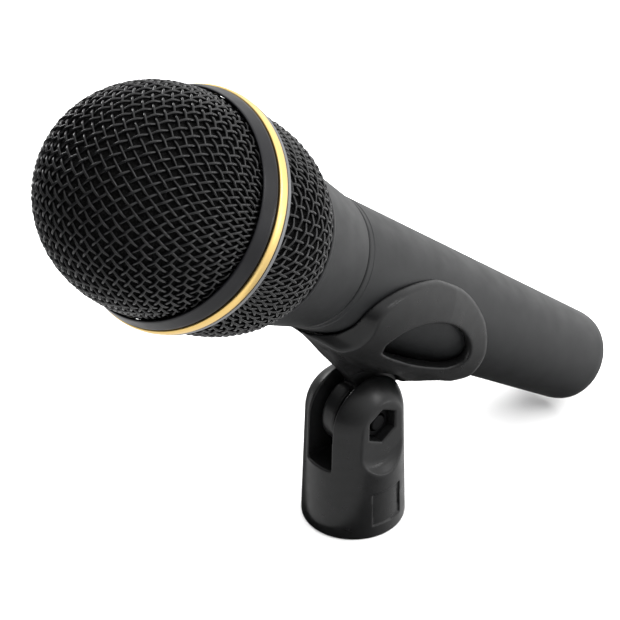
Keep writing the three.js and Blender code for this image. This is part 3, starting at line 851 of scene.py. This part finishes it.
def set_screw():
    points = node_points("xlr_set_screw", INLINE)
    middle = (points.min(0) + points.max(0)) / 2
    deep = (points[:, 1].max() - points[:, 1].min()) / 2
    step = 0.06
    low = (-1.5, -deep - 0.3, -1.5)
    x, y, z = grid(low, (1.5, deep + 0.3, 1.5), step)
    body = common(np.hypot(x, z) - 1.25, np.abs(y) - deep, 0.2)
    slot = np.maximum(np.abs(x) - 0.22, y + deep - 0.7) + 0 * z
    body = carve(body, slot, 0.05)
    place = INLINE @ Matrix.Translation(Vector(middle) * MM)
    moulded("grub_screw", body, low, step, place, STEEL, "microphone", ("xlr_set_screw",))


handle()
connector()
set_screw()

# ---------------------------------------------------------------- the clip's cradle

GAP = 0.35
SLOT_HALF = 3.85
TAB_HALF = 2.3
TAB_RADIUS = 8.4
HUB_HALF = SLOT_HALF - GAP
HUB_RADIUS = 5.4
BOLT_RADIUS = 2.0
CRADLE_WALL = 2.8
CRADLE_WALL_BACK = 1.4
CRADLE_THINS_AT = -80.0
CRADLE_DROP = 2.0
RELIEF_DROP = 0.5
BASE_CLEARANCE = 11.6  # the base's cheeks turn inside this radius of the hinge
# The half width of the keel under the cradle, at each height.
KEEL_HEIGHTS = (-40, -22, -20.4, -19, -17.8, -16.6, -15, -13.5, -9)
KEEL_HALVES = (TAB_HALF, TAB_HALF, 2.7, 3.7, 5.3, 7.4, 9.6, 11, 12)
# How steeply the ear's front edge falls back with its height off the handle, at each height.
BEVEL_HEIGHTS = (-17, -10, -5, 2)
BEVEL_SLOPES = (1.4, 1.0, 0.7, 0.55)


def cradle_side():
    """The cradle from the side, as (along, above): the ear, its back edge, the tab and the tongue."""
    ear = [
        (-50.9, -15.6),
        (-53.2, -12.6),
        (-53.6, -9.0),
        (-53.0, -5.2),
        (-53.8, -2.2),
        (-56.2, 0.5),
        (-59.6, 2.9),
        (-64.6, 5.2),
        (-70.0, 6.9),
        (-75.0, 7.7),
        (-85.7, 7.3),
        (-94.2, 4.2),
        (-98.8, 0.5),
        (-102.7, -4.3),
        (CRADLE_BACK, -9.4),
        (-104.2, -11.9),
        (-100.3, -14.2),
        (-95.0, -16.2),
    ]
    centre = np.array([PIVOT_ALONG, -PIVOT_BELOW])
    turn = np.radians(np.linspace(130, 400, 20))
    tab = [tuple(centre + TAB_RADIUS * np.array([math.cos(a), math.sin(a)])) for a in turn]
    tongue = [(-72.2, -20.9), (-69.0, -20.0), (-64.6, -18.6), (-60.9, -17.5), (-57.5, -16.7), (-54.0, -16.2)]
    return ear + tab + tongue


def cradle_window():
    """The ear's oval window, as (along, above)."""
    return [
        (-64.9, -9.9),
        (-66.0, -6.4),
        (-68.8, -4.0),
        (-72.6, -2.2),
        (-77.4, -0.9),
        (-82.4, -0.5),
        (-87.4, -1.1),
        (-92.0, -2.9),
        (-95.0, -5.4),
        (-95.6, -8.0),
        (-93.4, -10.2),
        (-88.0, -11.5),
        (-81.6, -12.3),
        (-75.6, -12.5),
        (-70.2, -12.4),
        (-66.6, -11.7),
    ]


def cradle():
    step = 0.3
    low = (-20.0, -40.0, CRADLE_BACK - 2)
    x, y, z = grid(low, (20.0, 11.0, CRADLE_FRONT + 2), step)
    handle_r = handle_radius(z)
    wall = np.interp(z, (CRADLE_BACK - 1, CRADLE_THINS_AT), (CRADLE_WALL_BACK, CRADLE_WALL))
    shell = np.hypot(x, y + CRADLE_DROP) - handle_r - wall
    keel = (np.abs(x) - np.interp(y, KEEL_HEIGHTS, KEEL_HALVES)) * 0.7 + 0 * z
    body = join(shell, keel, 1.2)
    height = np.clip(np.hypot(x, y) - handle_r - GAP, 0, 5)
    slope = np.interp(y, BEVEL_HEIGHTS, BEVEL_SLOPES)
    bevel = slope * height * np.clip((np.abs(x) - 2.5) / 4, 0, 1) * np.clip((z + 84) / 14, 0, 1)
    side = outline_distance(z + bevel, y, rounded_outline(cradle_side()))
    body = common(body, side, np.interp(z, (-98, -84), (2.0, 0.8)))
    body = carve(body, np.hypot(x, y) - handle_r - GAP, 0.4)
    body = carve(body, np.hypot(x, y + RELIEF_DROP) - handle_r, 0.4)
    window = outline_distance(z, y, rounded_outline(cradle_window()))
    window = np.maximum(window, 4 - np.abs(x))
    body = carve(body, window, 0.9)
    from_hinge = np.hypot(y + PIVOT_BELOW, z - PIVOT_ALONG)
    body = carve(body, common(from_hinge - BASE_CLEARANCE, TAB_HALF - np.abs(x), 0.3), 0.6)
    hub = np.maximum(from_hinge - HUB_RADIUS + 0 * x, np.abs(x) - HUB_HALF)
    body = join(body, hub, 0.4)
    body = carve(body, from_hinge - BOLT_RADIUS - GAP + 0 * x, 0.2)
    moulded("moulded_cradle", body, low, step, INLINE, CLIP, "cradle", ("clip_cradle",))


# ---------------------------------------------------------------- the clip's base and hinge bolt

BASE_RADIUS = 12.08
SHOULDER_RADIUS = 11.26
BASE_TOP = 40.1
SLOT_FLOOR = 18.5
FLAT_X = 9.42
FLAT_RADIUS = 9.9
SCOOP_SLOPE = 6.6 / (SHOULDER_RADIUS + 4 - FLAT_X)
SOCKET_RADIUS = 9.7
SOCKET_DEPTH = 13.3
NUT_POCKET = 4.49  # from the pocket's middle to its corners
NUT_CORNER = 4.04
POCKET_FLOOR = 5.2
HEAD_POCKET_RADIUS = 4.0
HEAD_POCKET_FLOOR = -6.6
PANEL_MIDDLE = 7.8
PANEL_HALF_WIDTH = 4.1
PANEL_HALF_HEIGHT = 4.4
PANEL_DEPTH = 0.45


def hexagon(y, z, corner):
    """Distance to a hexagon whose corners lie that far from the middle, one of them straight up."""
    flat = corner * math.cos(math.pi / 6)
    sides = [np.abs(y * math.cos(a) + z * math.sin(a)) for a in (0, math.pi / 3, 2 * math.pi / 3)]
    return np.maximum(np.maximum(sides[0], sides[1]), sides[2]) - flat


def base():
    step = 0.25
    low = (-13.0, -13.0, -1.0)
    x, y, z = grid(low, (13.0, 13.0, 41.5), step)
    across = np.hypot(x, y)
    cone_radius = np.interp(z, (0, PIVOT_HEIGHT), (BASE_RADIUS, SHOULDER_RADIUS))
    cone = across - cone_radius
    up = (z - PIVOT_HEIGHT) / (BASE_TOP - PIVOT_HEIGHT)
    top = (np.hypot(across / SHOULDER_RADIUS, up) - 1) * SHOULDER_RADIUS
    body = np.where(z < PIVOT_HEIGHT, cone, top)
    body = common(body, -z, 0.7)
    hinge_y, hinge_z = y, z - PIVOT_HEIGHT
    from_hinge = np.hypot(hinge_y, hinge_z)
    for side in (-1, 1):
        rim = (from_hinge - FLAT_RADIUS - SCOOP_SLOPE * (side * x - FLAT_X)) * 0.65
        body = carve(body, common(FLAT_X - side * x, rim, 0.9), 0.35)
    body = carve(body, common(np.abs(x) - SLOT_HALF, SLOT_FLOOR - z, 0.6), 0.5)
    body = carve(body, common(across - SOCKET_RADIUS, z - SOCKET_DEPTH, 0.3), 0.3)
    body = carve(body, from_hinge - BOLT_RADIUS - GAP + 0 * x, 0.2)
    body = carve(body, common(from_hinge - HEAD_POCKET_RADIUS, x - HEAD_POCKET_FLOOR, 0.2), 0.4)
    body = carve(body, common(hexagon(hinge_y, hinge_z, NUT_POCKET), POCKET_FLOOR - x, 0.2), 0.4)
    panel = np.maximum(np.abs(y) - PANEL_HALF_WIDTH, np.abs(z - PANEL_MIDDLE) - PANEL_HALF_HEIGHT)
    panel = np.maximum(np.maximum(panel, cone_radius - PANEL_DEPTH - across), -x)
    body = carve(body, panel, 0.25)
    moulded("moulded_base", body, low, step, UPRIGHT, CLIP, "base", ("clip_base",))


def stand_insert():
    """The brass insert with the stand's thread cut inside it."""
    low, high, radius = span("thread_insert", UPRIGHT)
    pitch, depth, bore = 25.4 / 27, 0.3, 7.6
    segments, rows = 96, 110
    angles = [m / segments * 2 * math.pi for m in range(segments)]
    points, faces = [], []
    for k in range(rows + 1):
        height = low + (high - low) * k / rows
        for m, angle in enumerate(angles):
            turn = (height / pitch - m / segments) % 1
            groove = depth * (1 - abs(2 * turn - 1)) * min(1.0, k / 4, (rows - k) / 4)
            points.append(((bore + groove) * math.cos(angle), (bore + groove) * math.sin(angle), height))
    outer = [(radius - 0.3, high), (radius, high - 0.3), (radius, low + 0.3), (radius - 0.3, low)]
    for r, height in outer:
        points.extend((r * math.cos(angle), r * math.sin(angle), height) for angle in angles)
    total = rows + 1 + len(outer)
    for k in range(total):
        for m in range(segments):
            n = (m + 1) % segments
            here, there = k * segments, (k + 1) % total * segments
            faces.append((here + m, there + m, there + n, here + n))
    node = "thread_insert"
    make_piece("threaded_insert", points, faces, UPRIGHT, BRASS, "base", (node,), crease=25)


def hinge_bolt():
    screw = node_points("pivot_screw", UPRIGHT)[:, 0]
    head, tip = screw.min(), screw.max()
    step = 0.14
    low = (head - 0.5, -4.2, -4.2)
    x, y, z = grid(low, (tip + 0.5, 4.2, 4.2), step)
    across = np.hypot(y, z)
    cap = common(across - 3.6, np.maximum(head - x, x - head - 2.15), 0.7)
    shank = common(across - BOLT_RADIUS, np.maximum(head - x, x - tip), 0.4)
    body = join(cap, shank, 0.3)
    upright = np.maximum(np.abs(y) - 0.45, np.abs(z) - 2.0)
    level = np.maximum(np.abs(z) - 0.45, np.abs(y) - 2.0)
    cross = np.minimum(upright, level)
    body = carve(body, np.maximum(cross, x - head - 1.3), 0.15)
    place = UPRIGHT @ Matrix.Translation((0, 0, HINGE.z))
    moulded("hinge_bolt", body, low, step, place, BLACK_OXIDE_AND_POCKET_SHADE, "base", ("pivot_screw",))
    nut = node_points("pivot_nut", UPRIGHT)[:, 0]
    near, far = nut.min(), nut.max()
    low = (near - 0.5, -5.0, -5.0)
    x, y, z = grid(low, (far + 0.5, 5.0, 5.0), step)
    body = common(hexagon(y, z, NUT_CORNER), np.maximum(near - x, x - far), 0.3)
    body = common(body, np.hypot(y, z) - 4.2 + 0.4 * np.maximum(0, x - far + 0.7), 0.3)
    body = carve(body, np.hypot(y, z) - BOLT_RADIUS - 0.3 + 0 * x, 0.2)
    moulded("hinge_nut", body, low, step, place, BLACK_OXIDE_AND_POCKET_SHADE, "base", ("pivot_nut",))


cradle()
base()
stand_insert()
hinge_bolt()

# ---------------------------------------------------------------- hidden CAD pieces that stay as they are

INNER = {
    "thread_ring": BRASS,
    "shock_mount": RUBBER,
    "acoustic_chamber": PLASTIC,
    "terminal_board": circuit_board(),
    "capsule_housing": PLASTIC,
    "magnet_cup": STEEL,
    "magnet": MAGNET,
    "pole_piece": STEEL,
    "voice_coil": winding(),
    "diaphragm": film(),
    "capsule_cap": PLASTIC,
    "lead_ground": sleeve("black_sleeve", (0.02, 0.02, 0.02)),
    "lead_hot": sleeve("red_sleeve", (0.42, 0.02, 0.02)),
    "lead_cold": sleeve("white_sleeve", (0.78, 0.75, 0.68)),
}
for node, look in INNER.items():
    mesh = frame["nodes"][node].data
    mesh.materials.clear()
    mesh.materials.append(look)

# ---------------------------------------------------------------- floor, light and camera


def stage_floor():
    """A pale floor. It isn't mirrored in the object: front_glow lights the undersides instead."""
    half = 3.0
    mesh = bpy.data.meshes.new("floor")
    corners = [(-half, -half, 0), (half, -half, 0), (half, half, 0), (-half, half, 0)]
    mesh.from_pydata(corners, [], [(0, 1, 2, 3)])
    look = Shader("floor_white", (0.92, 0.92, 0.92), 0.6)
    look.mottle(look.noise(60.0), 0.01)
    mesh.materials.append(look.material)
    floor = bpy.data.objects.new("floor", mesh)
    bpy.context.scene.collection.objects.link(floor)
    floor.visible_glossy = False


def softbox(name, position, target, size, power, mirrored=True):
    """A rectangular light, in metres and watts. An unmirrored one leaves no highlight."""
    light = bpy.data.lights.new(name, "AREA")
    light.shape = "RECTANGLE"
    light.size, light.size_y = size
    light.energy = power
    lamp = bpy.data.objects.new(name, light)
    lamp.location = position
    lamp.rotation_mode = "QUATERNION"
    lamp.visible_glossy = mirrored
    lamp.visible_camera = False
    lamp.rotation_quaternion = (Vector(target) - Vector(position)).to_track_quat("-Z", "Y")
    bpy.context.scene.collection.objects.link(lamp)


def surroundings(towards, dark, bright):
    """A plain room, bright on the side the given direction points to and dim on the other."""
    world = bpy.data.worlds.new("studio")
    bpy.context.scene.world = world
    world.use_nodes = True
    tree = world.node_tree
    sky = tree.nodes["Background"]
    sight = tree.nodes.new("ShaderNodeTexCoord").outputs["Generated"]
    facing = tree.nodes.new("ShaderNodeVectorMath")
    facing.operation = "DOT_PRODUCT"
    tree.links.new(sight, facing.inputs[0])
    facing.inputs[1].default_value = Vector(towards).normalized()
    blend = tree.nodes.new("ShaderNodeMapRange")
    blend.interpolation_type = "SMOOTHSTEP"
    tree.links.new(facing.outputs["Value"], blend.inputs["Value"])
    blend.inputs["From Min"].default_value = -0.5
    blend.inputs["From Max"].default_value = 0.8
    blend.inputs["To Min"].default_value = dark
    blend.inputs["To Max"].default_value = bright
    sky.inputs["Color"].default_value = (1, 1, 1, 1)
    tree.links.new(blend.outputs["Result"], sky.inputs["Strength"])


CAMERA_TARGET = Vector((26.0, -37.6, 87.9)) * MM + Vector((0, HINGE.y, 0))
CAMERA_DISTANCE = 0.675
CAMERA_AZIMUTH = math.radians(47.564)
CAMERA_ELEVATION = math.radians(35.332)
CAMERA_ROLL = 0.005
CAMERA_LENS = 190.13


def camera():
    data = bpy.data.cameras.new("camera")
    data.lens, data.sensor_width = CAMERA_LENS, 36
    data.clip_start, data.clip_end = 0.05, 20
    eye = bpy.data.objects.new("camera", data)
    level = math.cos(CAMERA_ELEVATION)
    sideways, forwards = math.sin(CAMERA_AZIMUTH) * level, -math.cos(CAMERA_AZIMUTH) * level
    back = Vector((sideways, forwards, math.sin(CAMERA_ELEVATION)))
    eye.location = CAMERA_TARGET + back * CAMERA_DISTANCE
    eye.rotation_mode = "QUATERNION"
    roll = Matrix.Rotation(CAMERA_ROLL, 4, "Z").to_quaternion()
    eye.rotation_quaternion = (-back).to_track_quat("-Z", "Y") @ roll
    bpy.context.scene.collection.objects.link(eye)
    bpy.context.scene.camera = eye


stage_floor()
surroundings((0.25, 0.75, 0.6), 0.02, 1.7)
MIDDLE = (0, 0, 0.08)
softbox("top_light", (0.1, 0.2, 1.6), MIDDLE, (3.0, 3.0), 70, mirrored=False)
softbox("right_light", (0.66, 0.46, 0.66), MIDDLE, (0.34, 0.34), 2.0)
softbox("left_light", (-0.95, 0.1, 0.45), MIDDLE, (0.3, 0.45), 4.0)
softbox("low_light", (0.72, 0.62, 0.06), (0.01, 0, 0.02), (0.22, 0.1), 0.9)
softbox("front_glow", (-0.05, -0.22, 0.002), (-0.05, -0.22, 1), (0.7, 0.42), 1.0)
camera()
bpy.context.scene.view_settings.view_transform = "Standard"
